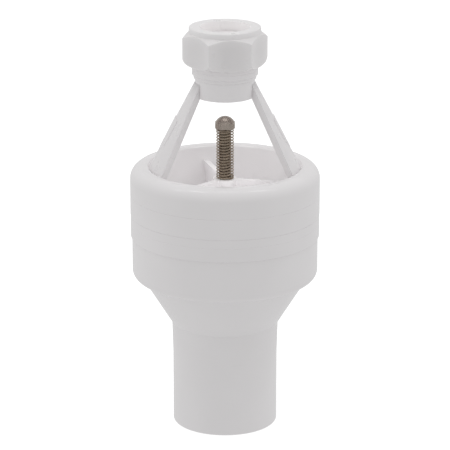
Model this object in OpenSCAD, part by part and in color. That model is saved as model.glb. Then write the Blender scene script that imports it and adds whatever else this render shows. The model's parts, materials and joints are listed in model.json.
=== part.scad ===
// Air-break discharge funnel with a spring-loaded check valve.
// Liquid or exhaust enters through the compression inlet at the top, crosses the open gap between the
// two struts, drops into the bowl, and leaves through the plain spigot at the bottom. A stem with a
// compression spring holds the valve disc up against its seat until the flow pushes it down.
// Millimetres, +Z up, origin at the centre of the spigot's lower rim, struts on the X axis.

/* [Outlet] */
// Outer diameter of the outlet spigot
spigot_d = 43; // [40:0.5:46]
// Wall thickness of the spigot and the lower housing
wall = 2.9; // [2:0.1:3.5]
// Height of the straight gauged part of the spigot
spigot_straight_h = 30; // [20:1:34]
// Height at which the spigot meets the cone
spigot_h = 43.4; // [40:0.2:46]

/* [Body] */
// Outer diameter of the lower housing's cup
cup_d = 76.1; // [74:0.1:77]
// Outer diameter of the bowl
bowl_d = 77.4; // [77:0.1:80]
// Height of the bowl's rim above the spigot's lower rim
rim_z = 110; // [108:0.5:112]
// Radius of the rounded outer edge of the rim
rim_round = 5.2; // [3:0.1:5.5]
// Diameter of the bowl's mouth
mouth_d = 62.4; // [60:0.1:63]

/* [Valve] */
// Diameter of the stem
stem_d = 5; // [5:1:5]
// Diameter of the valve seat's bore
seat_d = 35; // [30:0.5:36]
// Number of active turns of the spring
spring_turns = 16; // [12:1:17]
// Outer diameter of the spring
spring_d = 7.3; // [6.9:0.1:7.6]

/* [Inlet] */
// Diameter of the tube that the inlet takes
tube_d = 20; // [18:0.5:20]
// Width across the flats of the inlet nut
nut_af = 30; // [29:0.5:32]
// Pitch of the inlet thread
thread_pitch = 1.814; // [1.5:0.001:2]

/* [Struts] */
// Angle that each strut covers around the axis
strut_angle = 60; // [30:1:70]
// Radial thickness of each strut
strut_t = 3.2; // [2.5:0.1:3.6]

/* [Hidden] */
$fn = 96;

natural = "#eeeeec";
rubber = "#2b2b2b";
pale_rubber = "#e3e1da";
bearing = "#d9d6cf";
steel = "#8c857c";

turn = 360;
touch = 0.02;         // play between two faces that bear on each other across a joint
running = 0.05;       // radial play of a running fit
loose = 0.3;          // radial play around a piece that must pass freely
edge = 0.14;          // small chamfer that leaves a seam line between two rings
faint_edge = 0.07;    // chamfer of the finest seam line
break_edge = 0.25;    // chamfer that takes the sharpness off an open edge
past = 1;             // how far a cutter runs past the face it cuts
seal_sides = 32;      // facets around a round seal's section, which still counts as a true circle

// Heights of the joints in the body
cup_z = 80.6;         // cup and seat plate
plate_z = 86.2;       // seat plate and spacer ring
spacer_z = 89.8;      // spacer ring and lock ring
lock_z = 98.2;        // lock ring and bowl

// Outlet and lower housing
spigot_r = spigot_d / 2;
spigot_taper = 0.4;          // how much wider the spigot is at its root than at its end
spigot_root_r = spigot_r + spigot_taper;
cup_r = cup_d / 2;
cup_round = 3.7;
cone_slope = 0.62;
cone_top_z = 62.6;
cone_top_r = spigot_root_r + cone_slope * (cone_top_z - spigot_h);
spigot_chamfer = 0.9;
register_t = 3.6;            // thickness of the cup's wall around the seat plate
register_r = cup_r - register_t;
inner_rise = wall / 3;       // how much higher the inside bends than the outside

// Bowl
bowl_r = bowl_d / 2;
mouth_r = mouth_d / 2;
bowl_slope = 0.5;
lip_round = 0.8;
lip_start = 150;             // angle at which the lip's rounding leaves the sloping wall
skirt_r = 34.4;              // outside of the skirt that carries the rings
skirt_t = 2.9;
skirt_in_r = skirt_r - skirt_t;
cone_wall = 2.9;
ring_inset = 0.1;            // how far the lower rings stand back from the bowl
ring_r = bowl_r - ring_inset;
function bowl_wall_r(z) = mouth_r - bowl_slope * (rim_z - z);

// Valve seat and valve stack, from the seat down
stem_r = stem_d / 2;
seat_r = seat_d / 2;
seat_z = 76.6;
seat_lip_t = 1.7;
seat_lip_flare = 1;          // how much thicker the seat's lip is at its root
plate_bottom_z = 78.6;
plug_t = 3.4;                // thickness of the plate's rim inside the cup
plug_r = register_r - running;
groove_w = 1.8;
groove_depth = 1.45;
groove_lead = 1;             // land between the groove and the cup's rim
groove_z = cup_z - groove_lead - groove_w;
seal_wire_r = 0.72;
face_groove_w = 1.5;
face_groove_depth = 1.3;
face_groove_r = skirt_r - skirt_t / 2;
face_seal_r = 0.63;
seal_t = 1.6;
disc_overlap = 3;            // how far the disc reaches past the seat's bore
disc_r = seat_r + disc_overlap;
disc_t = 3;
disc_chamfer_r = 1.5;
disc_chamfer_h = 1;
washer_r = 5;
washer_t = 1;
nut8_af = 8;                 // across flats of the small nuts
nut8_t = 4;
nut8_corner_r = nut8_af / 2 / cos(30);
nut8_chamfer = 0.36;
stem_tail = 1.4;             // stem below the lower nut
seal_top_z = seat_z - touch;
disc_top_z = seal_top_z - seal_t;
disc_bottom_z = disc_top_z - disc_t;
lower_washer_z = disc_bottom_z - washer_t;
lower_nut_z = lower_washer_z - nut8_t;
stem_bottom_z = lower_nut_z - stem_tail;

// Spider, spring and cap nut
hub_r = 4.9;
hub_top_z = 104.4;
hub_bottom_z = 88.4;
arm_t = 2.2;
arm_angles = [103, 223, 343];
bush_r = 3.5;
bush_h = 12;
cap_nut_z = 125.2;
cap_heading = 27;            // turns one corner of the cap nut to the front
cap_face_r = 3.6;            // ring on which the spring bears
cap_low = 0.8;               // height of the lower chamfer
cap_high = 2.6;              // height at which the upper chamfer starts
cap_hex_h = 3;               // height at which the dome starts
cap_dome_r = 4.3;
cap_dome_z = 1;              // height of the dome's centre in the nut
cap_h = cap_dome_z + cap_dome_r;
cap_thread_h = 2.8;          // how far the stem reaches into the cap nut
spring_wire_d = 0.5;
spring_end_turns = 1;        // closed turns at each end
spring_end_pitch = 0.56;
spring_start = 298;          // heading at which the wire begins
spring_sides = 6;
spring_steps = 16;
spring_z = hub_top_z + touch;
spring_h = cap_nut_z - hub_top_z - 2 * touch;

// Inlet
tube_r = tube_d / 2;
tube_play = 0.1;
bore_r = tube_r + tube_play;
through_r = 8;
boss_r = 12.1;
boss_z = 139.1;
boss_chamfer = 0.4;
step_r = 12.7;
step_z = 146.5;
shoulder_r = 13.4;
shoulder_z = 148.1;
shoulder_groove_z = 150.3;   // fine turned groove around the shoulder
thread_z = 152;
thread_r = 13.2;
thread_depth = 0.7;
thread_top_z = 160;
ridge_flat = 0.02;           // share of half a pitch between two ridges
stop_z = 146;
nut_z = 152.15;
nut_top_z = 165.4;
nut_h = nut_top_z - nut_z;
nut_heading = 4.5;
nut_flat_r = nut_af / 2;
nut_corner_r = nut_flat_r / cos(30);
nut_round = 3;               // radius of the rounded lower edge
nut_chamfer_r = 0.4;         // how far the upper chamfer reaches inside the flats
nut_chamfer_h = 2.2;
collar_top_z = 167.6;
collar_inset = 0.4;          // how far the collar stands back from the flats
collar_r = nut_flat_r - collar_inset;
bore_chamfer = 0.15;
nut_ceiling_z = 163.4;
nut_bore_r = thread_r + 2 * running;
slip_t = 1.8;
slip_z = nut_ceiling_z - touch - slip_t;
seal_cone = 1.9;             // how far the sealing ring's taper widens
seal_seat_z = 157.4;

// Struts: conical shells between the boss and the bowl
strut_slope = 0.519;
strut_rise = 6;              // height of the strut's joint on the boss
strut_top_z = boss_z + strut_rise;
strut_lean = atan(strut_slope);
pad_z = 126;                 // middle of the pad's straight sides
pad_w = 10;
pad_h = 9;
pad_t = 0.45;
function strut_r(z) = boss_r + strut_slope * (strut_top_z - z);
function meets_bowl(offset) =
    (boss_r - offset + strut_slope * strut_top_z - mouth_r + bowl_slope * rim_z) / (strut_slope + bowl_slope);

// Points of an arc about c, from angle a to angle b
function arc(c, r, a, b, n = 12) =
    [for (i = [0:n]) let (t = a + (b - a) * i / n) c + r * [cos(t), sin(t)]];

// A plain ring between two radii and two heights
module ring(inner, outer, z0, z1) {
    rotate_extrude() translate([inner, z0]) square([outer - inner, z1 - z0]);
}

// A ring with both outer edges chamfered, which shows as fine seam lines where rings meet
module seam_ring(inner, outer, z0, z1, low, high) {
    rotate_extrude() polygon([
        [inner, z0], [outer - low, z0], [outer, z0 + low],
        [outer, z1 - high], [outer - high, z1], [inner, z1]
    ]);
}

// A hexagonal prism, flats facing Y
module hexagon(af, h) {
    cylinder(r = af / 2 / cos(30), h = h, $fn = 6);
}

// A small hexagon nut that fills in the stem's thread
module small_nut(z) {
    translate([0, 0, z]) difference() {
        intersection() {
            hexagon(nut8_af, nut8_t);
            rotate_extrude() polygon([
                [0, 0], [nut8_af / 2, 0], [nut8_corner_r, nut8_chamfer],
                [nut8_corner_r, nut8_t - nut8_chamfer], [nut8_af / 2, nut8_t], [0, nut8_t]
            ]);
        }
        translate([0, 0, -past]) cylinder(r = stem_r, h = nut8_t + 2 * past);
    }
}

module lower_housing() {
    inner_cone_r = cone_top_r - wall;
    color(natural) rotate_extrude() polygon(concat(
        [[spigot_r - wall, spigot_chamfer], [spigot_r - wall + spigot_chamfer / 2, 0]],
        arc([spigot_r - spigot_chamfer, spigot_chamfer], spigot_chamfer, -90, 0, 6),
        [[spigot_r, spigot_straight_h], [spigot_root_r, spigot_h], [cone_top_r, cone_top_z]],
        arc([cup_r - cup_round, cone_top_z + cup_round], cup_round, -90, 0),
        [[cup_r, cup_z - edge], [cup_r - edge, cup_z], [register_r, cup_z]],
        [[register_r, cone_top_z + cup_round], [inner_cone_r, cone_top_z + inner_rise]],
        [[spigot_root_r - wall, spigot_h + inner_rise]]
    ));
}

module housing_seal() {
    color(rubber) translate([0, 0, groove_z + groove_w / 2])
        rotate_extrude() translate([register_r - touch - seal_wire_r, 0])
            circle(r = seal_wire_r, $fn = seal_sides);
}

module seat_plate() {
    groove_r = plug_r - groove_depth;
    slot_in = face_groove_r - face_groove_w / 2;
    slot_out = face_groove_r + face_groove_w / 2;
    slot_z = plate_z - face_groove_depth;
    throat_r = bowl_wall_r(plate_z);
    throat_z = plate_z - (throat_r - seat_r) / bowl_slope;
    color(natural) rotate_extrude() polygon([
        [seat_r, seat_z], [seat_r + seat_lip_t, seat_z],
        [seat_r + seat_lip_t + seat_lip_flare, plate_bottom_z],
        [plug_r - plug_t, plate_bottom_z], [plug_r - plug_t, seat_z], [plug_r, seat_z],
        [plug_r, groove_z], [groove_r, groove_z],
        [groove_r, groove_z + groove_w], [plug_r, groove_z + groove_w],
        [plug_r, cup_z], [ring_r - edge, cup_z], [ring_r, cup_z + edge],
        [ring_r, plate_z - faint_edge], [ring_r - faint_edge, plate_z],
        [slot_out, plate_z], [slot_out, slot_z], [slot_in, slot_z], [slot_in, plate_z],
        [throat_r, plate_z], [seat_r, throat_z]
    ]);
}

module plate_seal() {
    color(rubber) translate([0, 0, plate_z - face_groove_depth / 2])
        rotate_extrude() translate([face_groove_r, 0]) circle(r = face_seal_r, $fn = seal_sides);
}

module spacer_ring() {
    color(natural) seam_ring(skirt_r + running, ring_r, plate_z, spacer_z, faint_edge, edge);
}

module lock_ring() {
    color(natural) seam_ring(skirt_r + running, bowl_r, spacer_z, lock_z, edge, edge);
}

module bowl() {
    color(natural) rotate_extrude() polygon(concat(
        [[bowl_wall_r(plate_z), plate_z], [bowl_wall_r(rim_z - lip_round), rim_z - lip_round]],
        arc([mouth_r + lip_round, rim_z - lip_round], lip_round, lip_start, 90, 6),
        arc([bowl_r - rim_round, rim_z - rim_round], rim_round, 90, 0, 16),
        [[bowl_r, lock_z + edge], [bowl_r - edge, lock_z], [skirt_r, lock_z]],
        [[skirt_r, plate_z], [skirt_in_r, plate_z], [skirt_in_r, rim_z - 2 * cone_wall]],
        [[bowl_wall_r(plate_z) + cone_wall, plate_z]]
    ));
}

module spider() {
    h = hub_top_z - hub_bottom_z;
    color(natural) difference() {
        intersection() {
            union() {
                translate([0, 0, hub_bottom_z]) cylinder(r = hub_r, h = h);
                for (a = arm_angles)
                    rotate([0, 0, a]) translate([0, -arm_t / 2, hub_bottom_z]) cube([mouth_r, arm_t, h]);
            }
            translate([0, 0, hub_bottom_z])
                cylinder(r1 = bowl_wall_r(hub_bottom_z), r2 = bowl_wall_r(hub_top_z), h = h);
        }
        translate([0, 0, hub_top_z - bush_h]) cylinder(r = bush_r, h = bush_h + past);
        translate([0, 0, hub_bottom_z - past]) cylinder(r = stem_r + loose, h = h);
    }
}

module guide_bush() {
    color(bearing) ring(stem_r + running, bush_r - touch, hub_top_z - bush_h, hub_top_z);
}

// One strut: a slice of a conical shell, cut to the boss above and to the bowl's wall below
module strut(heading) {
    top_in_z = strut_top_z - strut_t / strut_slope;
    out_z = meets_bowl(0);
    in_z = meets_bowl(strut_t);
    color(natural) {
        rotate([0, 0, heading - strut_angle / 2]) rotate_extrude(angle = strut_angle) polygon([
            [boss_r, top_in_z], [strut_r(in_z) - strut_t, in_z],
            [strut_r(out_z), out_z], [boss_r, strut_top_z]
        ]);
        rotate([0, 0, heading]) pad();
    }
}

// Low pad on a strut's outer face, flat at its upper end and round at its lower end
module pad() {
    low = pad_z - pad_h;
    high = pad_z + pad_h;
    intersection() {
        translate([strut_r(pad_z), 0, pad_z]) rotate([0, 90 - strut_lean, 0])
            translate([0, 0, -past]) linear_extrude(3 * past) union() {
                translate([-pad_h / 2, -pad_w / 2]) square([pad_h, pad_w]);
                translate([pad_h / 2, 0]) circle(r = pad_w / 2);
            }
        rotate_extrude() polygon([
            [strut_r(low) - past, low], [strut_r(low) + pad_t / 3, low],
            [strut_r(high) + pad_t, high], [strut_r(high) - past, high]
        ]);
    }
}

module strut_left() { strut(180); }
module strut_right() { strut(0); }

module inlet_body() {
    ridges = floor((thread_top_z - thread_z) / thread_pitch);
    half = thread_pitch / 2;
    color(natural) rotate_extrude() polygon(concat(
        [[through_r, boss_z + boss_chamfer], [through_r + boss_chamfer, boss_z]],
        [[boss_r - break_edge, boss_z], [boss_r, boss_z + break_edge]],
        [[boss_r, step_z], [step_r, step_z + break_edge]],
        [[step_r, shoulder_z - break_edge], [shoulder_r, shoulder_z + break_edge]],
        [[shoulder_r, shoulder_groove_z - edge], [shoulder_r - edge, shoulder_groove_z]],
        [[shoulder_r, shoulder_groove_z + edge]],
        [[shoulder_r, thread_z - break_edge], [shoulder_r - break_edge, thread_z]],
        [for (i = [0:ridges - 1], j = [0:2]) let (rise = half * (j + ridge_flat * (1 - j)))
            [thread_r - (j == 1 ? 0 : thread_depth), thread_z + thread_pitch * i + rise]],
        [[thread_r - thread_depth, thread_top_z], [bore_r + seal_cone, thread_top_z], [bore_r, seal_seat_z]],
        [[bore_r, stop_z], [through_r, stop_z]]
    ));
}

// Tapered rubber ring that grips the tube
module pipe_seal() {
    top = slip_z - touch;
    color(pale_rubber) rotate_extrude() polygon([
        [bore_r + touch, seal_seat_z + loose], [bore_r + touch, top],
        [bore_r + seal_cone, top], [bore_r + seal_cone - touch, thread_top_z]
    ]);
}

module slip_ring() {
    color(natural) ring(bore_r + running, thread_r - loose, slip_z, slip_z + slip_t);
}

module inlet_nut() {
    collar_h = collar_top_z - nut_top_z;
    color(natural) difference() {
        translate([0, 0, nut_z]) union() {
            intersection() {
                rotate([0, 0, nut_heading]) hexagon(nut_af, nut_h);
                rotate_extrude() polygon(concat(
                    [[0, 0]],
                    arc([nut_corner_r - nut_round, nut_round], nut_round, -90, 0, 8),
                    [[nut_corner_r, nut_h - nut_chamfer_h], [nut_flat_r - nut_chamfer_r, nut_h], [0, nut_h]]
                ));
            }
            translate([0, 0, nut_h]) rotate_extrude() polygon([
                [0, -past], [collar_r, -past], [collar_r, collar_h - break_edge],
                [collar_r - break_edge, collar_h], [0, collar_h]
            ]);
        }
        translate([0, 0, nut_z - past]) cylinder(r = nut_bore_r, h = nut_ceiling_z - nut_z + past);
        translate([0, 0, nut_z]) cylinder(r = bore_r, h = collar_top_z);
        translate([0, 0, collar_top_z - bore_chamfer])
            cylinder(r1 = bore_r, r2 = bore_r + 2 * bore_chamfer, h = 2 * bore_chamfer);
    }
}

module stem() {
    color(steel) translate([0, 0, stem_bottom_z])
        cylinder(r = stem_r, h = cap_nut_z + cap_thread_h - stem_bottom_z);
}

module cap_nut() {
    dome_start = asin((cap_hex_h - cap_dome_z) / cap_dome_r);
    dome_foot_r = cap_dome_r * cos(dome_start);
    low_slope = cap_low / (nut8_corner_r - cap_face_r);
    high_slope = (cap_hex_h - cap_high) / (nut8_corner_r - dome_foot_r);
    far_r = nut8_corner_r + past;
    color(steel) translate([0, 0, cap_nut_z]) difference() {
        intersection() {
            translate([0, 0, -past]) rotate([0, 0, cap_heading]) hexagon(nut8_af, cap_h + 2 * past);
            rotate_extrude() polygon(concat(
                [[0, 0], [cap_face_r, 0], [far_r, cap_low + past * low_slope]],
                [[far_r, cap_high - past * high_slope]],
                arc([0, cap_dome_z], cap_dome_r, dome_start, 90, 9)
            ));
        }
        translate([0, 0, -past]) cylinder(r = stem_r, h = cap_thread_h + past);
    }
}

// Height of the spring's wire centre after t turns, with closed end turns
function spring_rise(t) =
    let (
        body = spring_h - spring_wire_d - 2 * spring_end_turns * spring_end_pitch,
        low = min(t, spring_end_turns) * spring_end_pitch,
        middle = max(0, min(t - spring_end_turns, spring_turns)) * body / spring_turns,
        high = max(0, t - spring_turns - spring_end_turns) * spring_end_pitch
    ) spring_z + spring_wire_d / 2 + low + middle + high;

module valve_spring() {
    turns = spring_turns + 2 * spring_end_turns;
    rings = turns * spring_steps;
    mean_r = (spring_d - spring_wire_d) / 2;
    wire_r = spring_wire_d / 2;
    n = spring_sides;
    points = [for (i = [0:rings], j = [0:n - 1])
        let (a = spring_start + i * turn / spring_steps, b = j * turn / n, r = mean_r + wire_r * cos(b))
            [r * cos(a), r * sin(a), spring_rise(i / spring_steps) + wire_r * sin(b)]];
    sides = [for (i = [0:rings - 1], j = [0:n - 1], k = [0:1])
        let (p = i * n + j, q = i * n + (j + 1) % n)
            k == 0 ? [p, p + n, q + n] : [p, q + n, q]];
    color(steel) polyhedron(points, concat(
        sides, [[for (j = [0:n - 1]) j]], [[for (j = [n - 1:-1:0]) rings * n + j]]
    ));
}

module upper_nut() { color(steel) small_nut(seal_top_z + washer_t); }

module upper_washer() { color(steel) ring(stem_r, washer_r, seal_top_z, seal_top_z + washer_t); }

module valve_seal() { color(rubber) ring(stem_r, disc_r, disc_top_z, seal_top_z); }

module valve_disc() {
    color(natural) rotate_extrude() polygon([
        [stem_r, disc_bottom_z], [disc_r - disc_chamfer_r, disc_bottom_z],
        [disc_r, disc_bottom_z + disc_chamfer_h],
        [disc_r, disc_top_z], [stem_r, disc_top_z]
    ]);
}

module lower_washer() { color(steel) ring(stem_r, washer_r, lower_washer_z, disc_bottom_z); }

module lower_nut() { color(steel) small_nut(lower_nut_z); }

lower_housing();
housing_seal();
seat_plate();
plate_seal();
spacer_ring();
lock_ring();
bowl();
spider();
guide_bush();
strut_left();
strut_right();
inlet_body();
pipe_seal();
slip_ring();
inlet_nut();
stem();
cap_nut();
valve_spring();
upper_nut();
upper_washer();
valve_seal();
valve_disc();
lower_washer();
lower_nut();
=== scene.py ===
"""Air-break discharge funnel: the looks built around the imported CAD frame. Metres, +Z up."""

import json
import math

import bpy
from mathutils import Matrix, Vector


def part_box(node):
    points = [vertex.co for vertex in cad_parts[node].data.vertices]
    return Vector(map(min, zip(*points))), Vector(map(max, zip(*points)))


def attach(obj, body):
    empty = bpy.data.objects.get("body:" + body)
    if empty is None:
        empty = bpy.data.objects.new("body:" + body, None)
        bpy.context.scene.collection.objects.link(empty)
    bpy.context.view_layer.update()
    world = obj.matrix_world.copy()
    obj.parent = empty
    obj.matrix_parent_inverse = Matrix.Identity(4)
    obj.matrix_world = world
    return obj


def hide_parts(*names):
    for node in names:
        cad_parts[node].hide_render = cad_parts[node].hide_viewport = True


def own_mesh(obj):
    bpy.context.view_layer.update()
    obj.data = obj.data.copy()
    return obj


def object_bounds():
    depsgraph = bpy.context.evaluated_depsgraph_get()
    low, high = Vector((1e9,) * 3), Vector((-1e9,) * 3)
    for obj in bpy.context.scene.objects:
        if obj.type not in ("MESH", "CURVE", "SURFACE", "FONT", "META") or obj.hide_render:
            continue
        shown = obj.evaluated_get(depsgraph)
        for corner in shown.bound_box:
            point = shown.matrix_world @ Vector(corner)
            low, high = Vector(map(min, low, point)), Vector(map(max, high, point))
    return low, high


MM = 0.001
TURN = 2 * math.pi

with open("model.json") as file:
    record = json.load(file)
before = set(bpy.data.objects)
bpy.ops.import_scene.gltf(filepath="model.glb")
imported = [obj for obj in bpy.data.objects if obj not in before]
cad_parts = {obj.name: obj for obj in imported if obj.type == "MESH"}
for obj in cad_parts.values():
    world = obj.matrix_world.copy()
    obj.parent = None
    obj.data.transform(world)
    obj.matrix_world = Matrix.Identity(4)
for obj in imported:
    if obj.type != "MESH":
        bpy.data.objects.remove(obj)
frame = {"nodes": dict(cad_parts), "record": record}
CAD_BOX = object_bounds()


# ---------------------------------------------------------------- camera, floor, light

CAMERA_HEADING = -3.2     # degrees about Z from a view along +Y
CAMERA_RISE = 17.3        # degrees above the horizontal
CAMERA_DISTANCE = 1.066
CAMERA_LENS = 208
SENSOR_WIDTH = 36
CLIP = (0.05, 50)
AIM_HEIGHT = 0.503        # share of the object's height that the camera aims at

STRIP_PLACE = (0, 0.1, 1.3)
STRIP_SIZE = (1.6, 0.05)
STRIP_AIM = (0, 0, 0.09)
STRIP_POWER = 1.9         # watts
SKY_TOP = 0.74            # strength of the white surround, by direction
SKY_LEVEL = 0.68
FRONT_SHADE = 0.14        # how much weaker the surround is in front
FLOOR_HALF = 6
FLOOR_GAP = 0.1 * MM
FLOOR_TONE = 0.93
FLOOR_ROUGH = 0.9
FLOOR_SPECULAR = 0.1
FLOOR_GLOW = 0.50

BETWEEN_ARMS = (43, 163, 283)   # headings, degrees, halfway between the spider's arms
BOWL_GLOW = 0.0011        # watts, for each small lamp over the bowl
BOWL_LAMP = 10 * MM
BOWL_LAMP_RADIUS = 0.48   # share of the bowl's radius
BOWL_LAMP_RISE = 3 * MM
BOWL_LAMP_DIP = 0.45      # slope at which the lamp looks down
BORE_GLOW = 0.00024
BORE_LAMP = 4 * MM
BORE_LAMP_RADIUS = 0.40   # share of the nut's radius
BORE_LAMP_DEPTH = 5 * MM


def make_camera():
    low, high = CAD_BOX
    aim = Vector((0, 0, low[2] + AIM_HEIGHT * (high[2] - low[2])))
    heading, rise = math.radians(CAMERA_HEADING), math.radians(CAMERA_RISE)
    away = Vector((math.sin(heading) * math.cos(rise), -math.cos(heading) * math.cos(rise), math.sin(rise)))
    data = bpy.data.cameras.new("camera")
    data.lens = CAMERA_LENS
    data.sensor_width = SENSOR_WIDTH
    data.clip_start, data.clip_end = CLIP
    camera = bpy.data.objects.new("camera", data)
    camera.location = aim + CAMERA_DISTANCE * away
    camera.rotation_euler = away.to_track_quat("Z", "Y").to_euler()
    bpy.context.scene.collection.objects.link(camera)
    bpy.context.scene.camera = camera


def area_light(name, place, away, size, power):
    """A rectangular lamp whose back looks along away."""
    data = bpy.data.lights.new(name, "AREA")
    data.shape = "RECTANGLE"
    data.size, data.size_y = size
    data.energy = power
    lamp = bpy.data.objects.new(name, data)
    lamp.location = place
    lamp.rotation_euler = away.to_track_quat("Z", "Y").to_euler()
    bpy.context.scene.collection.objects.link(lamp)
    return lamp


def glow_ring(name, radius, height, dip, size, power):
    """Small unseen lamps that face the axis: the light that translucent walls let in."""
    for heading in BETWEEN_ARMS:
        turn = math.radians(heading)
        outward = Vector((math.cos(turn), math.sin(turn), 0))
        place = radius * outward + Vector((0, 0, height))
        lamp = area_light(name, place, outward + Vector((0, 0, dip)), (size, size), power)
        lamp.visible_camera = False
        lamp.visible_glossy = False


def make_glow():
    bowl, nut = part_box("bowl")[1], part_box("inlet_nut")[1]
    glow_ring(
        "bowl_glow", BOWL_LAMP_RADIUS * bowl.x, bowl.z + BOWL_LAMP_RISE, BOWL_LAMP_DIP, BOWL_LAMP, BOWL_GLOW,
    )
    glow_ring("bore_glow", BORE_LAMP_RADIUS * nut.x, nut.z - BORE_LAMP_DEPTH, 0, BORE_LAMP, BORE_GLOW)


def total(tree, a, b):
    node = tree.nodes.new("ShaderNodeMath")
    node.operation = "ADD"
    tree.links.new(a, node.inputs[0])
    tree.links.new(b, node.inputs[1])
    return node.outputs["Value"]


def between(tree, value, start, end, low, high):
    node = tree.nodes.new("ShaderNodeMapRange")
    node.interpolation_type = "SMOOTHSTEP"
    for name, number in zip(("From Min", "From Max", "To Min", "To Max"), (start, end, low, high)):
        node.inputs[name].default_value = number
    tree.links.new(value, node.inputs["Value"])
    return node.outputs["Result"]


def make_world():
    """A white surround, strongest overhead and a little weaker in front."""
    world = bpy.data.worlds.new("studio")
    world.use_nodes = True
    bpy.context.scene.world = world
    tree = world.node_tree
    back = tree.nodes["Background"]
    place = tree.nodes.new("ShaderNodeTexCoord").outputs["Generated"]
    split = tree.nodes.new("ShaderNodeSeparateXYZ")
    tree.links.new(place, split.inputs["Vector"])
    above = between(tree, split.outputs["Z"], 0.0, 1.0, SKY_LEVEL, SKY_TOP)
    front = between(tree, split.outputs["Y"], -1.0, 0.0, -FRONT_SHADE, 0.0)
    tree.links.new(total(tree, above, front), back.inputs["Strength"])
    back.inputs["Color"].default_value = (1, 1, 1, 1)
    world.cycles.sampling_method = "NONE"   # nearly uniform, so no map of it is needed


def make_floor():
    """A pale floor that shows to the camera and takes shadows, but doesn't light the object."""
    h = FLOOR_HALF
    mesh = bpy.data.meshes.new("floor")
    mesh.from_pydata([(-h, -h, 0), (h, -h, 0), (h, h, 0), (-h, h, 0)], [], [(0, 1, 2, 3)])
    floor = bpy.data.objects.new("floor", mesh)
    floor.location.z = CAD_BOX[0][2] - FLOOR_GAP
    bpy.context.scene.collection.objects.link(floor)
    pale = bpy.data.materials.new("floor_pale")
    pale.use_nodes = True
    shader = pale.node_tree.nodes["Principled BSDF"]
    shader.inputs["Base Color"].default_value = (FLOOR_TONE, FLOOR_TONE, FLOOR_TONE, 1)
    shader.inputs["Roughness"].default_value = FLOOR_ROUGH
    shader.inputs["Specular IOR Level"].default_value = FLOOR_SPECULAR
    shader.inputs["Emission Color"].default_value = (1, 1, 1, 1)
    shader.inputs["Emission Strength"].default_value = FLOOR_GLOW
    mesh.materials.append(pale)
    floor.visible_diffuse = False
    floor.visible_glossy = False


def make_studio():
    away = Vector(STRIP_PLACE) - Vector(STRIP_AIM)
    area_light("overhead_strip", STRIP_PLACE, away, STRIP_SIZE, STRIP_POWER)
    make_world()
    make_floor()
    bpy.context.scene.view_settings.view_transform = "Standard"


# ---------------------------------------------------------------- materials

NATURAL = (0.965, 0.945, 0.952)
NUT_TONE = (0.98, 0.948, 0.954)
# The struts' plastic is darker than NATURAL as painted shade, to temper the overhead light on their upward
# faces
STRUT_SHADED_TONE = (0.915, 0.89, 0.897)
BUSH_TONE = (0.84, 0.82, 0.79)
SILICONE_TONE = (0.90, 0.89, 0.86)
STEEL_TONE = (0.47, 0.41, 0.36)
WIRE_TONE = (0.44, 0.365, 0.285)
RUBBER_LOW, RUBBER_HIGH = (0.022, 0.022, 0.023), (0.040, 0.040, 0.041)
NOISE_SPAN = (0.3, 0.7)       # the range that a noise texture's values really fill
CLOUD_DEPTH = 0.975           # darkest clouding of the plastic, as a share of its tone
TARNISH_DEPTH = 0.80
MOULDED_ROUGH, TURNED_ROUGH, SILICONE_ROUGH = 0.30, 0.15, 0.5
STEEL_ROUGH, WIRE_ROUGH = 0.26, 0.25
RUBBER_ROUGH = (0.62, 0.78)
PLASTIC_ROUGH_SPAN = (-0.04, 0.07)
STEEL_ROUGH_SPAN = (-0.05, 0.07)
PLASTIC_IOR = 1.49
PLASTIC_SPECULAR = 0.45
STRUT_SOFT, NUT_SOFT = 0.3, 0.4    # share of light that scatters below the surface
SOFT_REACH = 5 * MM

# Noise textures, each a scale and a detail
CLOUDING, PLASTIC_GLOSS, MOULD_GRAIN = (45, 2), (160, 4), (1400, 3)
LATHE_SCALE, LATHE_DETAIL = 3000, 2
TARNISH, STEEL_GLOSS, DRAWING_MARKS = (260, 2), (900, 2), (2600, 2)
RUBBER_CLOUDING, RUBBER_GLOSS, RUBBER_GRAIN = (300, 3), (900, 3), (3000, 2)

# Bumps, each a depth and a strength
MOULD_BUMP = (0.03 * MM, 0.5)
LATHE_BUMP = (0.02 * MM, 0.35)
DRAWING_BUMP = (0.006 * MM, 0.15)
RUBBER_BUMP = (0.02 * MM, 0.5)

TURNED_NODES = ("lower_housing", "seat_plate", "spacer_ring", "lock_ring", "bowl", "inlet_body")


def new_material(name):
    material = bpy.data.materials.new(name)
    material.use_nodes = True
    tree = material.node_tree
    place = tree.nodes.new("ShaderNodeTexCoord").outputs["Object"]
    return material, tree, tree.nodes["Principled BSDF"], place


def noise(tree, coords, scale, detail):
    node = tree.nodes.new("ShaderNodeTexNoise")
    node.inputs["Scale"].default_value = scale
    node.inputs["Detail"].default_value = detail
    tree.links.new(coords, node.inputs["Vector"])
    return node.outputs["Fac"]


def ramp(tree, value, low, high):
    node = tree.nodes.new("ShaderNodeValToRGB")
    for stop, place, tone in zip(node.color_ramp.elements, NOISE_SPAN, (low, high)):
        stop.position = place
        stop.color = (*tone, 1)
    tree.links.new(value, node.inputs["Fac"])
    return node.outputs["Color"]


def spread(tree, value, low, high):
    node = tree.nodes.new("ShaderNodeMapRange")
    node.inputs["From Min"].default_value, node.inputs["From Max"].default_value = NOISE_SPAN
    node.inputs["To Min"].default_value, node.inputs["To Max"].default_value = low, high
    tree.links.new(value, node.inputs["Value"])
    return node.outputs["Result"]


def bump(tree, shader, height, distance, strength, before=None):
    node = tree.nodes.new("ShaderNodeBump")
    node.inputs["Strength"].default_value = strength
    node.inputs["Distance"].default_value = distance
    tree.links.new(height, node.inputs["Height"])
    if before is not None:
        tree.links.new(before, node.inputs["Normal"])
    tree.links.new(node.outputs["Normal"], shader.inputs["Normal"])
    return node.outputs["Normal"]


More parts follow.
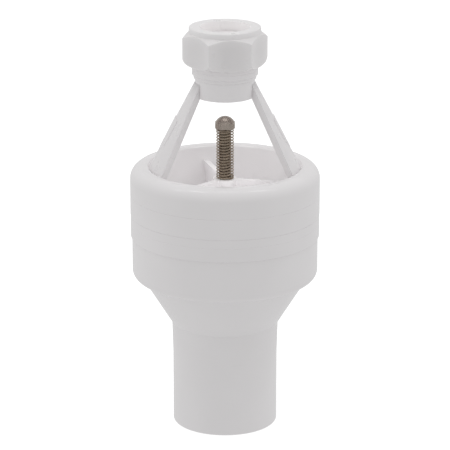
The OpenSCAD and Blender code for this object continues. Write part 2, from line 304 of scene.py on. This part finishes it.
def turned_lines(tree, shader, place, grain):
    """Fine rings left by a lathe: a bump that changes only with height."""
    split = tree.nodes.new("ShaderNodeSeparateXYZ")
    tree.links.new(place, split.inputs["Vector"])
    lines = tree.nodes.new("ShaderNodeTexNoise")
    lines.noise_dimensions = "1D"
    lines.inputs["Scale"].default_value = LATHE_SCALE
    lines.inputs["Detail"].default_value = LATHE_DETAIL
    tree.links.new(split.outputs["Z"], lines.inputs["W"])
    bump(tree, shader, lines.outputs["Fac"], *LATHE_BUMP, grain)


def natural_plastic(name, tone=NATURAL, turned=False, rough=MOULDED_ROUGH, soft=0.0):
    """Uncoloured polypropylene, waxy and faintly cloudy, with moulded grain or lathe lines."""
    material, tree, shader, place = new_material(name)
    low = tuple(c * CLOUD_DEPTH for c in tone)
    clouds = noise(tree, place, *CLOUDING)
    tree.links.new(ramp(tree, clouds, low, tone), shader.inputs["Base Color"])
    gloss = spread(tree, noise(tree, place, *PLASTIC_GLOSS), *(rough + d for d in PLASTIC_ROUGH_SPAN))
    tree.links.new(gloss, shader.inputs["Roughness"])
    shader.inputs["IOR"].default_value = PLASTIC_IOR
    shader.inputs["Specular IOR Level"].default_value = PLASTIC_SPECULAR
    shader.inputs["Subsurface Weight"].default_value = soft
    shader.inputs["Subsurface Radius"].default_value = (1.0, 1.0, 1.0)
    shader.inputs["Subsurface Scale"].default_value = SOFT_REACH
    grain = bump(tree, shader, noise(tree, place, *MOULD_GRAIN), *MOULD_BUMP)
    if turned:
        turned_lines(tree, shader, place, grain)
    return material


def stainless(name, tone=STEEL_TONE, rough=STEEL_ROUGH):
    """Stainless steel, warm grey, with faint tarnish and fine drawing marks."""
    material, tree, shader, place = new_material(name)
    low = tuple(c * TARNISH_DEPTH for c in tone)
    tarnish = noise(tree, place, *TARNISH)
    tree.links.new(ramp(tree, tarnish, low, tone), shader.inputs["Base Color"])
    gloss = spread(tree, noise(tree, place, *STEEL_GLOSS), *(rough + d for d in STEEL_ROUGH_SPAN))
    tree.links.new(gloss, shader.inputs["Roughness"])
    shader.inputs["Metallic"].default_value = 1.0
    bump(tree, shader, noise(tree, place, *DRAWING_MARKS), *DRAWING_BUMP)
    return material


def black_rubber(name):
    material, tree, shader, place = new_material(name)
    shade = ramp(tree, noise(tree, place, *RUBBER_CLOUDING), RUBBER_LOW, RUBBER_HIGH)
    tree.links.new(shade, shader.inputs["Base Color"])
    gloss = spread(tree, noise(tree, place, *RUBBER_GLOSS), *RUBBER_ROUGH)
    tree.links.new(gloss, shader.inputs["Roughness"])
    bump(tree, shader, noise(tree, place, *RUBBER_GRAIN), *RUBBER_BUMP)
    return material


def paint(node, material):
    for entry in frame["nodes"][node].material_slots:
        entry.material = material


def paint_all():
    """Gives every CAD node its material, and returns the one for the stem and the spring's wire."""
    by_slot = {
        "natural_plastic": natural_plastic("plastic_moulded"),
        "bush_plastic": natural_plastic("plastic_bush", tone=BUSH_TONE),
        "pale_seal": natural_plastic("rubber_pale", tone=SILICONE_TONE, rough=SILICONE_ROUGH),
        "seal_rubber": black_rubber("rubber_black"),
        "stainless": stainless("steel_drawn"),
    }
    for part in frame["record"]["subparts"]:
        paint(part["node"], by_slot[part["material_slot"]])
    turned = natural_plastic("plastic_turned", turned=True, rough=TURNED_ROUGH)
    for node in TURNED_NODES:
        paint(node, turned)
    # The struts get a darker copy of the plastic: painted shade on their faces
    strut = natural_plastic("plastic_strut_shaded", tone=STRUT_SHADED_TONE, soft=STRUT_SOFT)
    paint("strut_left", strut)
    paint("strut_right", strut)
    paint("inlet_nut", natural_plastic("plastic_nut", tone=NUT_TONE, soft=NUT_SOFT))
    wire = stainless("steel_wire", tone=WIRE_TONE, rough=WIRE_ROUGH)
    paint("stem", wire)
    return wire


# ---------------------------------------------------------------- spring

SPRING_TURNS = 16
END_TURNS = 1
WIRE_D = 0.5 * MM
END_PITCH = 0.54 * MM
START_HEADING = math.radians(298)   # of the wire's lower end
STEPS_A_TURN = 48
WIRE_SIDES = 12


def spring_rise(turn, low, high):
    """Height of the wire's centre after so many turns: closed end turns, evenly open ones between."""
    body = (high - low) - WIRE_D - 2 * END_TURNS * END_PITCH
    start = min(turn, END_TURNS) * END_PITCH
    middle = max(0, min(turn - END_TURNS, SPRING_TURNS)) * body / SPRING_TURNS
    end = max(0, turn - SPRING_TURNS - END_TURNS) * END_PITCH
    return low + WIRE_D / 2 + start + middle + end


def spring_mesh(low, high):
    mean_r = (high.x - low.x) / 2 - WIRE_D / 2
    rings = (SPRING_TURNS + 2 * END_TURNS) * STEPS_A_TURN
    sides = WIRE_SIDES
    points, faces = [], []
    for i in range(rings + 1):
        turn = i / STEPS_A_TURN
        a = START_HEADING + turn * TURN
        z = spring_rise(turn, low.z, high.z)
        for j in range(sides):
            b = j * TURN / sides
            r = mean_r + WIRE_D / 2 * math.cos(b)
            points.append((r * math.cos(a), r * math.sin(a), z + WIRE_D / 2 * math.sin(b)))
    for i in range(rings):
        for j in range(sides):
            k = (j + 1) % sides
            faces.append((i * sides + j, (i + 1) * sides + j, (i + 1) * sides + k, i * sides + k))
    faces.append(tuple(range(sides)))
    faces.append(tuple(rings * sides + j for j in reversed(range(sides))))
    mesh = bpy.data.meshes.new("spring_coil")
    mesh.from_pydata(points, [], faces)
    mesh.polygons.foreach_set("use_smooth", [True] * len(mesh.polygons))
    return mesh


def make_spring(material):
    """The valve spring as a coil of round wire."""
    low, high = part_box("valve_spring")
    mesh = spring_mesh(low, high)
    mesh.materials.append(material)
    coil = bpy.data.objects.new("spring_coil", mesh)
    bpy.context.scene.collection.objects.link(coil)
    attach(coil, "frame")
    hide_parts("valve_spring")
    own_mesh(coil)


# ---------------------------------------------------------------- build

make_camera()
make_studio()
make_glow()
wire_steel = paint_all()
make_spring(wire_steel)
